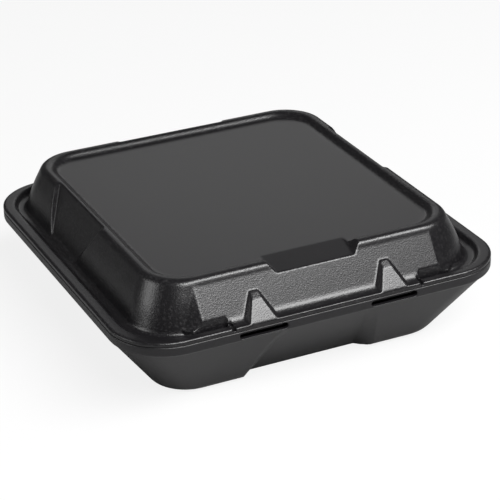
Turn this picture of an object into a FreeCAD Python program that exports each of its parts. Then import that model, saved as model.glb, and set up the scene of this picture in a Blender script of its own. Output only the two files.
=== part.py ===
import FreeCAD, Part
import math
import os

# A hinged foam food container: a deep base and a shallower lid, pressed from one sheet of
# foam and joined by a thin pressed strip at the back. Millimetres, +Z up. The origin is on
# the table under the middle of the container, and the front edge with its latch is at -Y.
# An inset is how far a point lies inside the rim outline. A level is a rounded rectangle at
# one height, given as (front inset, side inset, back inset, z, soft), where soft is how far
# from a crease its rounding starts.

V = FreeCAD.Vector

# Overall sizes
WIDTH = 242.0
DEPTH = 241.0
HEIGHT = 76.0
SHEET = 2.3                 # thickness of the foam sheet
RIM_RADIUS = 34.0           # plan radius of the rim's four corners
RADIUS_FALL = 0.45          # the corners tighten by this much for each mm of inset
RIM_SOFT = 0.5
ROUND_STEPS = 4
TILT = 0.01                 # least rise between two neighbouring levels
FLAT_RUN = 4.0              # run of a flat end, which only gives its crease a direction
OVERLAP = 0.5               # how far one fused part reaches into the next
OVER = 4.0                  # how far a cutting shape runs past what it cuts

# Base
BASE_RIM_Z = 48.5           # top of the base's rim, where the lid rests
LIP_Z = 43.0                # crease under the upright lip
LIP_STEP = 1.4              # how far the wall starts inside the lip
LIP_STEP_DROP = 0.6
FOOT_INSET = 29.0           # inset of the front and back walls where they meet the bottom
FOOT_INSET_SIDE = 32.0
FOOT_SOFT = 5.0
LIP_SOFT = 0.7

# Lid
PANEL_Z = 72.5              # recessed top panel
BORDER = (21.0, 25.0, 15.5)     # front, side and back inset of the raised border, outer side
BORDER_WIDTH = 5.0
BORDER_SLOPE = 3.5          # run of the slope from the border down to the panel
BORDER_SOFT = 1.7
SHOULDER_SOFT = 2.8
INSIDE_SOFT = 1.2           # rounding of the lid's hollow under the border and the panel
INSIDE_TRIM = 0.5           # the border's hollow is narrower by this much on its inner side
BULGE_Z = 62.0              # height where the lid's wall stands proudest of a straight line
BULGE = 1.0
BULGE_SOFT = 6.0
BAND_TOP_Z = 51.4           # top of the flat flange that rests on the base
BAND = (5.2, 7.2, 4.2)      # front, side and back inset of the flange's inner side
BAND_FALL = 1.2             # run of the slope from the flange into the channel
BAND_SOFT = 1.2
TROUGH_Z = 48.0             # floor of the channel between the flange and the lid's wall
WALL_FOOT = (11.0, 13.5, 8.5)   # front, side and back inset of the lid's wall at the channel
TROUGH_SOFT = 1.6
SKIRT = (3.3, 5.4, 3.0)     # side of the channel that drops inside the base's rim
SKIRT_SOFT = 0.8
CENTRE_INSET = (40.0, 44.0, 34.0)

# Front of the lid: its wall is straight, then flares out to the edge of the flap
FLARE_HALF = 75.0           # half length of the flat front wall between its corners
FLARE_END = 86.0            # where it has run out into the corner
FLARE_HEAD = 20.0           # inset of the straight wall just under the border
FLARE_FOOT = 5.2            # inset where the straight wall would meet the flap
FLARE_SOFT = 4.2            # how far from there the wall begins to turn into the flap
FLARE_SOFT_INSIDE = 0.8
FLAP_EDGE = 0.3             # inset of the flap's edge
FLARE_BACK = 28.0           # inset of the filled shape's back, under the border
GONE_FOOT = 13.8            # insets of the same foot and head where the flare has run out
GONE_HEAD = 25.0
GONE_SOFT = 0.5
CHANNEL_END = 61.0          # where each corner's channel ends beside the flap
CHANNEL_STOP = 88.0         # how far round the corner its end is cut
CHANNEL_INSET = 7.4         # side of the channel's end towards the wall
CHANNEL_LEAN = 0.11         # how fast that side leans back with height
CHANNEL_TOP_Z = 57.0
BREAK_X = 59.5              # nick between the flap and each corner's flange
BREAK_WIDTH = 2.0
BREAK_RISE = 1.0            # how far the nick stays above the base's rim
NOTCH_HALF = 24.8           # half length of the thumb notch where its floor meets the wall
NOTCH_HALF_TOP = 29.4
NOTCH_FRONT_INSET = 18.0
NOTCH_BACK_INSET = 36.5
NOTCH_DROP = 2.5            # how far the notch's floor falls from the panel to the wall
RIB_X = 41.5                # middle of each wedge rib, and of the slot below it
RIB_FACE_FOOT = (0.3, 51.4)     # inset and height of the rib's face at the flap
RIB_FACE_TOP = (9.0, 61.6)
RIB_CAP = (13.2, 64.6)      # where the blunt top runs into the wall
RIB_ROOT_FOOT = (5.0, 49.5)     # the rib's back lies within the wall
RIB_ROOT_TOP = (15.2, 64.6)
RIB_HALF_FOOT = 8.3
RIB_HALF_TOP = 3.1
RIB_DRAFT = 0.45            # how fast the rib widens towards the wall

# Latch
SLOT_LENGTH = 30.0
SLOT_HEIGHT = 3.8
SLOT_Z = 45.5
TONGUE_LENGTH = 27.0
TONGUE_Z = 44.5             # lower edge of the tongue that hangs behind each slot

# Shallow recesses pressed into the walls
LID_RECESS_TOP = 40.0       # half length at the border
LID_RECESS_FOOT = 21.0
LID_RECESS_DEEP = 3.0
LID_RECESS_SHALLOW = 0.7
LID_RECESS_SPLAY = 1.0
LID_RECESS_RISE = 2.0       # height of their foot above the channel's floor
SIDE_RECESS_SHIFT = 23.0    # the side recesses lie towards the hinge
BASE_RECESS_TOP = 30.0
BASE_RECESS_FOOT = 40.0
BASE_RECESS_DEEP = 9.0
BASE_RECESS_SHALLOW = 0.5
BASE_RECESS_SPLAY = 5.0
RECESS_CLEAR = 1.0          # how far outside the wall a recess's cutting shape starts

# Hinge
HINGE_HALF = 72.0           # half length of the hinge strip
HINGE_GAP = 0.9             # each edge stops this far short of the hinge line
HINGE_HALF_HEIGHT = 1.2
HINGE_PROUD = 0.4           # how far the strip stands outside the hinge line


def sloped(run, rise):
    """The sheet's thickness measured level through a wall with this slope."""
    return SHEET * math.hypot(run, rise) / rise


WALL_RISE = LIP_Z - LIP_STEP_DROP
BASE_SHIFT = sloped(FOOT_INSET - LIP_STEP, WALL_RISE)
BASE_SHIFT_SIDE = sloped(FOOT_INSET_SIDE - LIP_STEP, WALL_RISE)
LID_SHIFT = sloped(BORDER[0] - WALL_FOOT[0], HEIGHT - TROUGH_Z)


def even(inset, z, soft=0.0):
    """A level with one inset all round."""
    return (inset, inset, inset, z, soft)


def level(insets, z, soft=0.0, more=0.0):
    """A level with its own front, side and back insets, all grown by the same amount."""
    return (insets[0] + more, insets[1] + more, insets[2] + more, z, soft)


def between(a, b, share):
    """The point that lies this share of the way from one level to another."""
    return tuple(a[k] + (b[k] - a[k]) * share for k in range(4))


def tilted(levels):
    """The levels without flush ends, and with none flush with the one before."""
    if levels[0][3] == levels[1][3]:
        levels = levels[1:]
    if levels[-1][3] == levels[-2][3]:
        levels = levels[:-1]
    found = [levels[0]]
    for here in levels[1:]:
        z = here[3]
        if abs(z - found[-1][3]) < TILT:
            z = found[-1][3] + TILT
        found.append(here[:3] + (z,))
    return found


def softened(levels):
    """The levels with each soft crease turned into a row of levels along a round."""
    found = [levels[0][:4]]
    for before, here, after in zip(levels, levels[1:], levels[2:]):
        soft = here[4]
        if soft <= 0:
            found.append(here[:4])
            continue
        first = between(here, before, soft / math.hypot(before[0] - here[0], before[3] - here[3]))
        last = between(here, after, soft / math.hypot(after[0] - here[0], after[3] - here[3]))
        for step in range(ROUND_STEPS + 1):
            t = step / ROUND_STEPS
            found.append(between(between(first, here, t), between(here, last, t), t))
    found.append(levels[-1][:4])
    return tilted(found)


def ring(place):
    """The rounded rectangle of one level."""
    front, side, back, z = place
    x = WIDTH / 2 - side
    low = -DEPTH / 2 + front
    high = DEPTH / 2 - back
    r = RIM_RADIUS - RADIUS_FALL * front
    s = r * (1 - math.sqrt(0.5))
    lines = [((x, low + r), (x, high - r)), ((x - r, high), (r - x, high)),
             ((-x, high - r), (-x, low + r)), ((r - x, low), (x - r, low))]
    middles = [(x - s, high - s), (s - x, high - s), (s - x, low + s), (x - s, low + s)]
    edges = []
    for i in range(4):
        start, end = lines[i]
        follow = lines[(i + 1) % 4][0]
        edges.append(Part.makeLine(V(start[0], start[1], z), V(end[0], end[1], z)))
        edges.append(Part.Arc(V(end[0], end[1], z), V(middles[i][0], middles[i][1], z),
                              V(follow[0], follow[1], z)).toShape())
    return Part.Wire(edges)


def body(levels):
    """A filled body whose outer surface runs through the levels."""
    return Part.makeLoft([ring(place) for place in softened(levels)], True, True)


def section_wire(points, x):
    """A closed outline of (inset, z) points at the front, standing across X."""
    places = [V(x, p[0] - DEPTH / 2, p[1]) for p in points]
    return Part.makePolygon(places + places[:1])


def front_prism(points, half, middle=0.0):
    """A section at the front, run along X."""
    face = Part.Face(section_wire(points, middle - half))
    return face.extrude(V(2 * half, 0, 0))


def taper_block(half_low, half_high, z_low, z_high, middle):
    """A block over the front half whose width changes evenly with height."""
    y = -DEPTH / 2 - OVER
    corners = [V(middle - half_low, y, z_low), V(middle + half_low, y, z_low),
               V(middle + half_high, y, z_high), V(middle - half_high, y, z_high)]
    face = Part.Face(Part.makePolygon(corners + corners[:1]))
    return face.extrude(V(0, DEPTH / 2, 0))


def placed(along, inset, z, side):
    """A point given along one side of the rim outline and inside it."""
    if side == "front":
        return V(along, inset - DEPTH / 2, z)
    if side == "back":
        return V(along, DEPTH / 2 - inset, z)
    if side == "left":
        return V(inset - WIDTH / 2, along, z)
    return V(WIDTH / 2 - inset, along, z)


def recess(side, foot, head, depths, halves, splay, shift):
    """A shallow pocket for one wall; foot and head are (inset, z) on the wall's face."""
    wires = []
    for sunk, spread in ((False, splay), (True, -splay)):
        ends = []
        for end, depth, half in ((foot, depths[0], halves[0]), (head, depths[1], halves[1])):
            inset = end[0] + (depth if sunk else -RECESS_CLEAR)
            ends.append((placed(shift - half - spread, inset, end[1], side),
                         placed(shift + half + spread, inset, end[1], side)))
        loop = [ends[0][0], ends[0][1], ends[1][1], ends[1][0]]
        wires.append(Part.makePolygon(loop + loop[:1]))
    return Part.makeLoft(wires, True, True)


def base_recesses(behind):
    """The pockets in the base's four walls; behind gives the skin on their inner side."""
    found = []
    for side, inset, shift in (("front", FOOT_INSET, BASE_SHIFT), ("back", FOOT_INSET, BASE_SHIFT),
                               ("left", FOOT_INSET_SIDE, BASE_SHIFT_SIDE),
                               ("right", FOOT_INSET_SIDE, BASE_SHIFT_SIDE)):
        skin = shift if behind else 0.0
        foot = (inset + (inset - LIP_STEP) / WALL_RISE * OVER, -OVER)
        depths = (BASE_RECESS_DEEP + skin, BASE_RECESS_SHALLOW + skin)
        edge = SHEET if behind else 0.0
        halves = (BASE_RECESS_FOOT + edge, BASE_RECESS_TOP + edge)
        found.append(recess(side, foot, (LIP_STEP, WALL_RISE), depths, halves, BASE_RECESS_SPLAY, 0.0))
    return found


def lid_recesses(behind):
    """The pockets in the lid's back and side walls; behind gives the skin on their inner side."""
    skin = LID_SHIFT if behind else 0.0
    edge = SHEET if behind else 0.0
    depths = (LID_RECESS_SHALLOW + skin, LID_RECESS_DEEP + skin)
    halves = (LID_RECESS_FOOT + edge, LID_RECESS_TOP + edge)
    found = []
    for side, k, shift in (("left", 1, SIDE_RECESS_SHIFT), ("right", 1, SIDE_RECESS_SHIFT), ("back", 2, 0.0)):
        slope = (BORDER[k] - WALL_FOOT[k]) / (HEIGHT - TROUGH_Z)
        foot = (WALL_FOOT[k] + slope * LID_RECESS_RISE, TROUGH_Z + LID_RECESS_RISE)
        head = (BORDER[k] + slope * OVER, HEIGHT + OVER)
        found.append(recess(side, foot, head, depths, halves, LID_RECESS_SPLAY, shift))
    return found


def slot_cut(middle):
    """One latch slot through the base's lip, with round ends."""
    half = (SLOT_LENGTH - SLOT_HEIGHT) / 2
    y = -DEPTH / 2 - OVER
    deep = OVER + 2 * SHEET
    cut = Part.makeBox(2 * half, deep, SLOT_HEIGHT, V(middle - half, y, SLOT_Z - SLOT_HEIGHT / 2))
    ends = [Part.makeCylinder(SLOT_HEIGHT / 2, deep, V(middle + side * half, y, SLOT_Z), V(0, 1, 0))
            for side in (-1, 1)]
    return cut.fuse(ends)


def hinge_relief(low, high):
    """The strip taken off the back edge so that the hinge strip has room to fold."""
    return Part.makeBox(2 * HINGE_HALF, OVER, high - low, V(-HINGE_HALF, DEPTH / 2 - HINGE_GAP, low))


def base_outer():
    """The filled shape of the tray."""
    feet = (FOOT_INSET, FOOT_INSET_SIDE, FOOT_INSET)
    return body([level(feet, 0.0, 0.0, FLAT_RUN), level(feet, 0.0, FOOT_SOFT), even(LIP_STEP, WALL_RISE),
                 even(0.0, LIP_Z, LIP_SOFT), even(0.0, BASE_RIM_Z, LIP_SOFT), even(SHEET, BASE_RIM_Z)])


def base_inner():
    """The hollow of the tray, open upwards."""
    slope = (FOOT_INSET - LIP_STEP) / WALL_RISE
    slope_side = (FOOT_INSET_SIDE - LIP_STEP) / WALL_RISE
    turn_z = WALL_RISE + (LIP_STEP + BASE_SHIFT - SHEET) / slope
    front = LIP_STEP + BASE_SHIFT + (WALL_RISE - SHEET) * slope
    side = LIP_STEP + BASE_SHIFT_SIDE + (WALL_RISE - SHEET) * slope_side
    foot = (front, side, front)
    return body([level(foot, SHEET, 0.0, FLAT_RUN), level(foot, SHEET, FOOT_SOFT - SHEET / 2),
                 even(SHEET, turn_z, SHEET), even(SHEET, BASE_RIM_Z + OVER)])


def base_shell():
    """The tray: bottom, sloping walls, upright lip, wall recesses and latch slots."""
    outer = base_outer().cut(base_recesses(False))
    inner = base_inner().cut(base_recesses(True))
    shell = outer.cut(inner)
    shell = shell.cut([slot_cut(-RIB_X), slot_cut(RIB_X)])
    return shell.cut(hinge_relief(LIP_Z, BASE_RIM_Z + OVER)).removeSplitter()


def bulged(foot, head):
    """The level where the lid's wall stands proud of the straight line from foot to head."""
    share = (BULGE_Z - foot[3]) / (head[3] - foot[3])
    place = between(foot, head, share)
    return level(place, BULGE_Z, BULGE_SOFT, -BULGE)


def lid_outer():
    """The filled shape of the lid: flange, channel, wall, border and panel."""
    low = TROUGH_Z - SHEET
    foot = level(WALL_FOOT, TROUGH_Z, TROUGH_SOFT)
    head = level(BORDER, HEIGHT, SHOULDER_SOFT)
    panel = level(BORDER, PANEL_Z, BORDER_SOFT, BORDER_WIDTH + BORDER_SLOPE)
    return body([level(SKIRT, low, 0.0, FLAT_RUN), level(SKIRT, low, SKIRT_SOFT), level(SKIRT, BASE_RIM_Z),
                 even(0.0, BASE_RIM_Z, RIM_SOFT), even(0.0, BAND_TOP_Z, BAND_SOFT),
                 level(BAND, BAND_TOP_Z, BAND_SOFT), level(BAND, TROUGH_Z, TROUGH_SOFT, BAND_FALL),
                 foot, bulged(foot, head), head, level(BORDER, HEIGHT, BORDER_SOFT, BORDER_WIDTH),
                 panel, level(CENTRE_INSET, PANEL_Z)])


def lid_inner():
    """The hollow of the lid, open downwards."""
    foot = level(WALL_FOOT, TROUGH_Z, 0.0, LID_SHIFT)
    head = level(BORDER, HEIGHT, 0.0, LID_SHIFT)
    low = TROUGH_Z - SHEET - OVER
    high = HEIGHT - SHEET
    start = between(foot, head, (low - TROUGH_Z) / (HEIGHT - TROUGH_Z))
    top = between(foot, head, (high - TROUGH_Z) / (HEIGHT - TROUGH_Z))
    crest = BORDER_WIDTH - INSIDE_TRIM
    return body([level(start, low), bulged(foot, head), level(top, high, INSIDE_SOFT),
                 level(BORDER, high, INSIDE_SOFT, crest),
                 level(BORDER, PANEL_Z - SHEET, INSIDE_SOFT, crest + BORDER_SLOPE),
                 level(CENTRE_INSET, PANEL_Z - SHEET)])


def curve(start, corner, end):
    """Points along a round that turns from start to end under a corner."""
    found = []
    for step in range(ROUND_STEPS + 1):
        t = step / ROUND_STEPS
        place = ((1 - t) ** 2 * start[k] + 2 * t * (1 - t) * corner[k] + t * t * end[k] for k in (0, 1))
        found.append(tuple(place))
    return found


def flare_section(foot, top, edge, soft, behind):
    """A section of the flared front wall: its outer side, or the hollow behind it."""
    drop = SHEET if behind else 0.0
    rise = HEIGHT - SHOULDER_SOFT - BAND_TOP_Z
    slope = (top - foot) / rise
    skin = sloped(top - foot, rise) if behind else 0.0
    low = TROUGH_Z - SHEET - OVER if behind else BASE_RIM_Z
    deep = low - OVERLAP if behind else TROUGH_Z - OVERLAP
    corner = (foot + skin - slope * drop, BAND_TOP_Z - drop)
    head = (top + skin - slope * drop, HEIGHT - SHOULDER_SOFT - drop)
    share = soft / math.hypot(head[0] - corner[0], head[1] - corner[1])
    turned = tuple(corner[k] + (head[k] - corner[k]) * share for k in (0, 1))
    start = (corner[0] - soft, corner[1])
    edge = min(edge, start[0] - TILT)
    ledge = edge + SKIRT[0] - FLAP_EDGE
    rest = [head, (FLARE_BACK, head[1]), (FLARE_BACK, deep), (ledge, deep), (ledge, low)]
    return [(edge, low), (edge, corner[1])] + curve(start, corner, turned) + rest


def flare_half(side, behind):
    """Half of the front wall's flare, from the middle to where it runs out."""
    soft = FLARE_SOFT_INSIDE if behind else FLARE_SOFT
    edge = SKIRT[0] + SHEET if behind else FLAP_EDGE
    full = flare_section(FLARE_FOOT, FLARE_HEAD, edge, soft, behind)
    gone = flare_section(GONE_FOOT, GONE_HEAD, GONE_FOOT, GONE_SOFT, behind)
    trim = SHEET if behind else 0.0
    wires = [section_wire(full, 0.0), section_wire(full, side * (FLARE_HALF - trim)),
             section_wire(gone, side * (FLARE_END - trim))]
    return Part.makeLoft(wires, True, True).cut(channel_end(side, trim))


def channel_end(side, skin):
    """The room kept free in front of the flared wall by the end of one corner's channel."""
    inset = CHANNEL_INSET + skin
    low = TROUGH_Z - 2 * OVER - SHEET
    leant = inset + CHANNEL_LEAN * (CHANNEL_TOP_Z - TROUGH_Z)
    section = [(-OVER, low), (-OVER, CHANNEL_TOP_Z), (leant, CHANNEL_TOP_Z), (inset, TROUGH_Z), (inset, low)]
    start = CHANNEL_END - skin
    return front_prism(section, (CHANNEL_STOP - start) / 2, side * (CHANNEL_STOP + start) / 2)


def notch(skin):
    """The thumb notch through the border; skin gives the sheet under it."""
    fall = NOTCH_DROP / (NOTCH_BACK_INSET - NOTCH_FRONT_INSET)
    start = -OVER
    end = NOTCH_BACK_INSET + OVER
    section = [(end, PANEL_Z - skin + fall * OVER), (end, HEIGHT + OVER), (start, HEIGHT + OVER),
               (start, PANEL_Z - skin - fall * (NOTCH_BACK_INSET - start))]
    prism = front_prism(section, NOTCH_HALF_TOP + 3 * OVER)
    low = PANEL_Z - NOTCH_DROP
    grow = (NOTCH_HALF_TOP - NOTCH_HALF) / (HEIGHT - low)
    block = taper_block(NOTCH_HALF + skin - grow * 2 * OVER, NOTCH_HALF_TOP + skin + grow * OVER,
                        low - 2 * OVER, HEIGHT + OVER, 0.0)
    return prism.common(block)


def rib_cheek(middle, side):
    """The block that lies outside one slanted side of a rib."""
    foot = placed(middle + side * RIB_HALF_FOOT, RIB_FACE_FOOT[0], RIB_FACE_FOOT[1], "front")
    head = placed(middle + side * RIB_HALF_TOP, RIB_FACE_TOP[0], RIB_FACE_TOP[1], "front")
    rise = head - foot
    inwards = V(side * RIB_DRAFT, 1.0, 0.0) * (4 * OVER)
    low = foot - rise
    high = foot + rise * 2
    corners = [low - inwards, high - inwards, high + inwards, low + inwards]
    face = Part.Face(Part.makePolygon(corners + corners[:1]))
    return face.extrude(V(side * 8 * RIB_HALF_FOOT, 0, 0))


def rib(middle):
    """A wedge rib that stiffens the lid's front wall above a latch slot."""
    under = (RIB_FACE_FOOT[0], RIB_ROOT_FOOT[1])
    section = [under, RIB_FACE_FOOT, RIB_FACE_TOP, RIB_CAP, RIB_ROOT_TOP, RIB_ROOT_FOOT]
    prism = front_prism(section, 3 * RIB_HALF_FOOT, middle)
    return prism.cut([rib_cheek(middle, -1), rib_cheek(middle, 1)])


def tongue(middle):
    """The tongue of the lid that hangs behind one latch slot."""
    section = [(SKIRT[0], TONGUE_Z), (SKIRT[0] + SHEET, TONGUE_Z),
               (SKIRT[0] + SHEET, BASE_RIM_Z + OVERLAP), (SKIRT[0], BASE_RIM_Z + OVERLAP)]
    return front_prism(section, TONGUE_LENGTH / 2, middle)


def flange_break(side):
    """The nick that parts the front flap from the flange round one corner."""
    corner = V(side * BREAK_X - BREAK_WIDTH / 2, -DEPTH / 2 - OVER, BASE_RIM_Z + BREAK_RISE)
    return Part.makeBox(BREAK_WIDTH, OVER + BAND[0] + BAND_FALL, OVER, corner)


def lid_shell():
    """The lid: recessed panel, border with its notch, walls, channel, flange and latch."""
    outer = lid_outer().fuse([flare_half(-1, False), flare_half(1, False)])
    inner = lid_inner().fuse([flare_half(-1, True), flare_half(1, True)])
    outer = outer.cut(lid_recesses(False) + [notch(0.0)])
    inner = inner.cut(lid_recesses(True) + [notch(SHEET)])
    shell = outer.cut(inner)
    shell = shell.fuse([rib(-RIB_X), rib(RIB_X), tongue(-RIB_X), tongue(RIB_X)])
    shell = shell.cut([flange_break(-1), flange_break(1)])
    return shell.cut(hinge_relief(BASE_RIM_Z, BAND_TOP_Z + OVER)).removeSplitter()


def hinge_strip():
    """The thin pressed strip that joins the back edges and folds as the lid opens."""
    thick = HINGE_GAP + HINGE_PROUD
    corner = V(-HINGE_HALF, DEPTH / 2 - HINGE_GAP, BASE_RIM_Z - HINGE_HALF_HEIGHT)
    return Part.makeBox(2 * HINGE_HALF, thick, 2 * HINGE_HALF_HEIGHT, corner)


def save(shape, node):
    """Writes one node as a STEP file."""
    solids = shape.Solids
    whole = solids[0] if len(solids) == 1 else Part.makeCompound(solids)
    whole.exportStep("parts/" + node + ".step")
    print(node, "solids", len(solids), "valid", whole.isValid(), "volume cm3", round(whole.Volume / 1000, 1))


os.makedirs("parts", exist_ok=True)
save(base_shell(), "base")
save(lid_shell(), "lid")
save(hinge_strip(), "hinge_strip")
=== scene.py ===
import math
import bmesh
import bpy
from mathutils import Matrix, Vector


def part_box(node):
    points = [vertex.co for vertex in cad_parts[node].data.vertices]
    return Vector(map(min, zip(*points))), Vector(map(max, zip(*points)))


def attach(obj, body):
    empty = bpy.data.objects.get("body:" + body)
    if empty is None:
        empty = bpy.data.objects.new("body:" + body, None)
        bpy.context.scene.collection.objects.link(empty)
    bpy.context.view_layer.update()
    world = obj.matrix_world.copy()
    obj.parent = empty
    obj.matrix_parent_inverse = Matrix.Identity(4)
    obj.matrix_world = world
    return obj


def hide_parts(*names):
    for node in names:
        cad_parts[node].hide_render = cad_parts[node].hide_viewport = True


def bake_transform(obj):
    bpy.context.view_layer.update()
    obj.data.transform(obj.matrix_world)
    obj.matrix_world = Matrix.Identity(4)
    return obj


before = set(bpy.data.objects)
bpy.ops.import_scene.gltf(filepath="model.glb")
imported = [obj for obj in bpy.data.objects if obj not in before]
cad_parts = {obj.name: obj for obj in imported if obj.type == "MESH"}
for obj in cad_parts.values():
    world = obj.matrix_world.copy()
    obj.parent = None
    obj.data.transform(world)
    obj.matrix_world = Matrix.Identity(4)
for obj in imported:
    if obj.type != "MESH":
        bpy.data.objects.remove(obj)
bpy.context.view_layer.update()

MM = 0.001

# Black foam
GLINT_SPECK_MM = 1.5             # width of the paler specks painted into the colour as glints off the grain
MOTTLE_MM = 18.0            # width of the broad patches that have more painted glint specks, or fewer
SKIN_TO_GRAIN = 1.3         # the skin's own unevenness is this much wider than the grain
GRAIN_SMOOTHNESS = 0.6
LEVEL_FROM = 0.93           # a face starts to count as level at this upright share of its normal
LEVEL_TO = 0.995            # and is level in full here
GLINT_SPECK_FROM = 0.5            # noise at which a painted glint speck starts to show
GLINT_SPECK_TO = 0.72
IRONED_DULLING = 0.1        # ironed faces are rougher than the open grain by this much
SKIN_IOR = 1.5

# Colour sockets of a Mix node
MIX_DARK = 6
MIX_LIGHT = 7
MIX_COLOUR = 2

# Moulded shells
VOXEL = 0.65 * MM           # fine enough for the 2.3 mm sheet
SHELL_TRIANGLES = 180000
SOFTENING = 0.5
SOFTENING_ROUNDS = 2

# Folding strip
STRIP_ROWS = 12
STRIP_COLUMNS = 72
STRIP_BELLY = 0.25 * MM     # how far its middle stands out past its two long edges

# Studio, in metres and watts
FLOOR_HALF = 0.75
FLOOR_PAPER = "#a2a2a2"
WHITE = "#ffffff"
FLOOR_WHITE_SHARE = 0.7     # the rest is lit paper, which keeps the shadow
FLOOR_WHITE = 1.2
SURROUND_WHITE_SHARE = 1.0
SURROUND_WHITE = 1.0
SURROUND = 0.09

# The photograph's viewpoint
LENS = 137.56
SENSOR = 36.0
EYE = Vector((-0.44225, -0.96393, 0.55469))
LOOK = Vector((0.37904, 0.81360, -0.44088))
RIGHT = Vector((0.90182, -0.43160, -0.02115))


def linear(hex_colour):
    """An sRGB hex colour as the linear values that the shaders take."""
    parts = [int(hex_colour[i:i + 2], 16) / 255.0 for i in (1, 3, 5)]
    return [c / 12.92 if c <= 0.04045 else ((c + 0.055) / 1.055) ** 2.4 for c in parts] + [1.0]


def add(tree, kind, links=(), inputs=None, **settings):
    """Adds a node with its settings, its socket values and the links that come into it."""
    node = tree.nodes.new(kind)
    for name, value in settings.items():
        setattr(node, name, value)
    for socket, value in (inputs or {}).items():
        node.inputs[socket].default_value = value
    for source, output, socket in links:
        tree.links.new(source.outputs[output], node.inputs[socket])
    return node


def per_mm(size):
    """The texture scale at which one cell is this many millimetres wide."""
    return 1.0 / (size * MM)


def empty_material(name):
    """A material with nothing in its node tree yet."""
    mat = bpy.data.materials.new(name)
    mat.use_nodes = True
    mat.node_tree.nodes.clear()
    return mat


def pressed_foam(name, dark, light, roughness, grain_mm, relief_mm, ironed):
    """Black extruded polystyrene foam with a satin skin.

    The bubbles under the skin show as a fine grain that breaks the sheen into specks, and paler specks are
    also painted into the colour as glints. Level faces lie against the flat of the mould, which irons that
    share of the grain and of the painted glints away."""
    mat = empty_material(name)
    tree = mat.node_tree
    place = add(tree, "ShaderNodeTexCoord")
    cells = add(tree, "ShaderNodeTexVoronoi", [(place, "Object", "Vector")],
                {"Scale": per_mm(grain_mm), "Smoothness": GRAIN_SMOOTHNESS}, feature="SMOOTH_F1")
    skin = add(tree, "ShaderNodeTexNoise", [(place, "Object", "Vector")],
               {"Scale": per_mm(SKIN_TO_GRAIN * grain_mm), "Detail": 2.0, "Roughness": 0.5})
    glint_noise = add(tree, "ShaderNodeTexNoise", [(place, "Object", "Vector")],
                  {"Scale": per_mm(GLINT_SPECK_MM), "Detail": 2.0, "Roughness": 0.7})
    mottle = add(tree, "ShaderNodeTexNoise", [(place, "Object", "Vector")],
                 {"Scale": per_mm(MOTTLE_MM), "Detail": 3.0})
    facing = add(tree, "ShaderNodeSeparateXYZ", [(place, "Normal", "Vector")])
    level = add(tree, "ShaderNodeMath", [(facing, "Z", 0)], operation="ABSOLUTE")
    open_grain = add(tree, "ShaderNodeMapRange", [(level, "Value", "Value")],
                     {"From Min": LEVEL_FROM, "From Max": LEVEL_TO, "To Min": 1.0, "To Max": 1.0 - ironed})
    # Paler specks painted into the base colour as glints off the grain, patchy, and fewer on ironed faces
    glint_mask = add(tree, "ShaderNodeMapRange", [(glint_noise, "Fac", "Value")],
                {"From Min": GLINT_SPECK_FROM, "From Max": GLINT_SPECK_TO})
    patchy_glints = add(tree, "ShaderNodeMath", [(glint_mask, "Result", 0), (mottle, "Fac", 1)], operation="MULTIPLY")
    painted_glint_share = add(tree, "ShaderNodeMath", [(patchy_glints, "Value", 0), (open_grain, "Result", 1)],
                 operation="MULTIPLY")
    colour = add(tree, "ShaderNodeMix", [(painted_glint_share, "Value", 0)],
                 {MIX_DARK: linear(dark), MIX_LIGHT: linear(light)}, data_type="RGBA")
    gloss = add(tree, "ShaderNodeMapRange", [(open_grain, "Result", "Value")],
                {"To Min": roughness + IRONED_DULLING, "To Max": roughness})
    height = add(tree, "ShaderNodeMath", [(cells, "Distance", 0), (skin, "Fac", 1)], operation="ADD")
    bump = add(tree, "ShaderNodeBump", [(height, "Value", "Height"), (open_grain, "Result", "Strength")],
               {"Distance": relief_mm * MM})
    shader = add(tree, "ShaderNodeBsdfPrincipled",
                 [(colour, MIX_COLOUR, "Base Color"), (gloss, "Result", "Roughness"),
                  (bump, "Normal", "Normal")],
                 {"IOR": SKIN_IOR})
    add(tree, "ShaderNodeOutputMaterial", [(shader, "BSDF", "Surface")])
    return mat


def soften(obj):
    """Gives the piece an even skin with soft edges, within its limit of triangles."""
    skin = obj.modifiers.new("skin", "REMESH")
    skin.mode = "VOXEL"
    skin.voxel_size = VOXEL
    edges = obj.modifiers.new("soft_edges", "SMOOTH")
    edges.factor = SOFTENING
    edges.iterations = SOFTENING_ROUNDS
    thin = obj.modifiers.new("fewer_faces", "DECIMATE")
    graph = bpy.context.evaluated_depsgraph_get()
    thin.show_viewport = False
    graph.update()
    count = sum(len(face.vertices) - 2 for face in obj.evaluated_get(graph).data.polygons)
    thin.ratio = min(1.0, SHELL_TRIANGLES / count)
    thin.show_viewport = True
    graph.update()
    softened = bpy.data.meshes.new_from_object(obj.evaluated_get(graph))
    obj.modifiers.clear()
    obj.data = softened


def moulded_shell(node, body, name, material):
    """The node's form as a foam skin: the mould can't hold a sharp edge, so all edges are soft."""
    source = bpy.data.objects[node]
    mesh = source.data.copy()
    mesh.transform(source.matrix_world)
    obj = bpy.data.objects.new(name, mesh)
    bpy.context.scene.collection.objects.link(obj)
    soften(obj)
    obj.data.name = name
    obj.data.shade_smooth()
    obj.data.materials.clear()
    obj.data.materials.append(material)
    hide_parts(node)
    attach(obj, body)


def strip_side(made, depth, belly):
    """One side of the strip as rows of points, its middle row at this depth."""
    low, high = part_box("hinge_strip")
    rows = []
    for r in range(STRIP_ROWS + 1):
        up = r / STRIP_ROWS
        y = depth - (1.0 - math.sin(math.pi * up)) * belly
        z = low.z + (high.z - low.z) * up
        across = [low.x + (high.x - low.x) * c / STRIP_COLUMNS for c in range(STRIP_COLUMNS + 1)]
        rows.append([made.verts.new((x, y, z)) for x in across])
    return rows


def join_rows(made, first, second):
    """Fills the space between two rows of points with four-sided faces."""
    for corners in zip(first, first[1:], second[1:], second):
        made.faces.new(corners)


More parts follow.
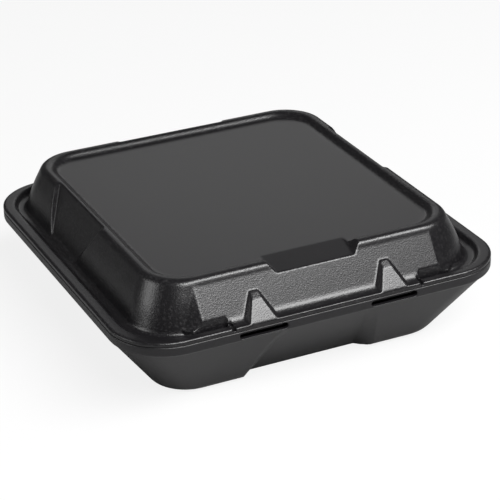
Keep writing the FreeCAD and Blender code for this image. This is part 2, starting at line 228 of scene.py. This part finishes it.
def folding_strip(material):
    """The thin pressed strip at the back: it bends from the tray's edge round to the lid's."""
    low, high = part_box("hinge_strip")
    made = bmesh.new()
    inside = strip_side(made, low.y, 0.0)
    outside = strip_side(made, high.y, STRIP_BELLY)
    for side in (inside, outside):
        for lower, upper in zip(side, side[1:]):
            join_rows(made, lower, upper)
    for end in (0, -1):
        join_rows(made, inside[end], outside[end])
        join_rows(made, [row[end] for row in inside], [row[end] for row in outside])
    bmesh.ops.recalc_face_normals(made, faces=made.faces)
    mesh = bpy.data.meshes.new("folding_strip")
    made.to_mesh(mesh)
    made.free()
    mesh.shade_smooth()
    mesh.materials.append(material)
    obj = bpy.data.objects.new("folding_strip", mesh)
    bpy.context.scene.collection.objects.link(obj)
    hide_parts("hinge_strip")
    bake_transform(obj)


def container():
    """The tray, the lid and the strip between them."""
    # The tray's skin is pressed smooth and shows an even satin sheen, with faint paler specks painted in
    # as glints
    tray_foam = pressed_foam("black_foam_smooth_skin_painted_glints", dark="#131214", light="#1d1c1e",
                             roughness=0.40, grain_mm=0.7, relief_mm=0.025, ironed=0.5)
    # The lid's drawn walls keep an open grain that glitters, with its paler specks painted in as glints,
    # while its panel and flange are ironed flat
    lid_foam = pressed_foam("black_foam_open_grain_painted_glints", dark="#0f0e10", light="#393839",
                            roughness=0.29, grain_mm=0.65, relief_mm=0.055, ironed=0.9)
    moulded_shell("base", "base_body", "foam_tray", tray_foam)
    moulded_shell("lid", "lid_body", "foam_lid", lid_foam)
    folding_strip(tray_foam)


def white_to_camera(tree, shader, kind, share, strength):
    """Adds white that only the camera sees, so the background is white and no light is added."""
    white = add(tree, kind, inputs={"Color": linear(WHITE), "Strength": strength})
    path = add(tree, "ShaderNodeLightPath")
    part = add(tree, "ShaderNodeMath", [(path, "Is Camera Ray", 0)], {1: share}, operation="MULTIPLY")
    return add(tree, "ShaderNodeMixShader", [(part, "Value", 0), (shader, 0, 1), (white, 0, 2)])


def paper_floor():
    """A sheet of matt paper, whitened for the camera, which keeps a soft shadow."""
    mat = empty_material("white_paper_floor")
    tree = mat.node_tree
    paper = add(tree, "ShaderNodeBsdfDiffuse", inputs={"Color": linear(FLOOR_PAPER)})
    mixed = white_to_camera(tree, paper, "ShaderNodeEmission", FLOOR_WHITE_SHARE, FLOOR_WHITE)
    add(tree, "ShaderNodeOutputMaterial", [(mixed, 0, "Surface")])
    mesh = bpy.data.meshes.new("studio_floor")
    signs = ((-1, -1), (1, -1), (1, 1), (-1, 1))
    mesh.from_pydata([(x * FLOOR_HALF, y * FLOOR_HALF, 0) for x, y in signs], [], [(0, 1, 2, 3)])
    mesh.materials.append(mat)
    floor = bpy.data.objects.new("studio_floor", mesh)
    bpy.context.scene.collection.objects.link(floor)


def dim_surround():
    """A dim room that fills the shadows, white where the camera looks into it."""
    world = bpy.data.worlds.new("dim_surround")
    bpy.context.scene.world = world
    world.use_nodes = True
    tree = world.node_tree
    tree.nodes.clear()
    dim = add(tree, "ShaderNodeBackground", inputs={"Color": linear(WHITE), "Strength": SURROUND})
    mixed = white_to_camera(tree, dim, "ShaderNodeBackground", SURROUND_WHITE_SHARE, SURROUND_WHITE)
    add(tree, "ShaderNodeOutputWorld", [(mixed, 0, "Surface")])


def soft_box(name, place, target, size, watts):
    """A large soft lamp that looks at a point."""
    lamp = bpy.data.lights.new(name, "AREA")
    lamp.shape = "RECTANGLE"
    lamp.size, lamp.size_y = size
    lamp.energy = watts
    obj = bpy.data.objects.new(name, lamp)
    bpy.context.scene.collection.objects.link(obj)
    obj.location = place
    obj.rotation_euler = (Vector(target) - Vector(place)).to_track_quat("-Z", "Y").to_euler()


def lamps():
    """Two in front for the front wall and its shoulder, one at the left, and one behind that the
    lid's panel mirrors."""
    soft_box("high_box", place=(0.32, -0.84, 1.14), target=(0, -0.08, 0.06), size=(1.7, 0.46), watts=40.0)
    soft_box("low_box", place=(0.36, -1.22, 0.94), target=(0, -0.08, 0.06), size=(1.6, 0.42), watts=3.0)
    soft_box("left_box", place=(-1.30, 0.15, 0.50), target=(0, 0, 0.05), size=(0.7, 0.5), watts=4.5)
    soft_box("back_card", place=(0.72, 1.54, 0.84), target=(0, 0, 0.07), size=(0.95, 0.42), watts=1.8)


def camera():
    """A long lens at the photograph's viewing angle."""
    data = bpy.data.cameras.new("view")
    data.lens = LENS
    data.sensor_width = SENSOR
    obj = bpy.data.objects.new("view", data)
    bpy.context.scene.collection.objects.link(obj)
    back = -LOOK.normalized()
    right = RIGHT.normalized()
    turn = Matrix((right, back.cross(right), back)).transposed().to_4x4()
    obj.matrix_world = Matrix.Translation(EYE) @ turn
    bpy.context.scene.camera = obj


container()
bpy.context.scene.view_settings.view_transform = "Standard"
paper_floor()
dim_surround()
lamps()
camera()
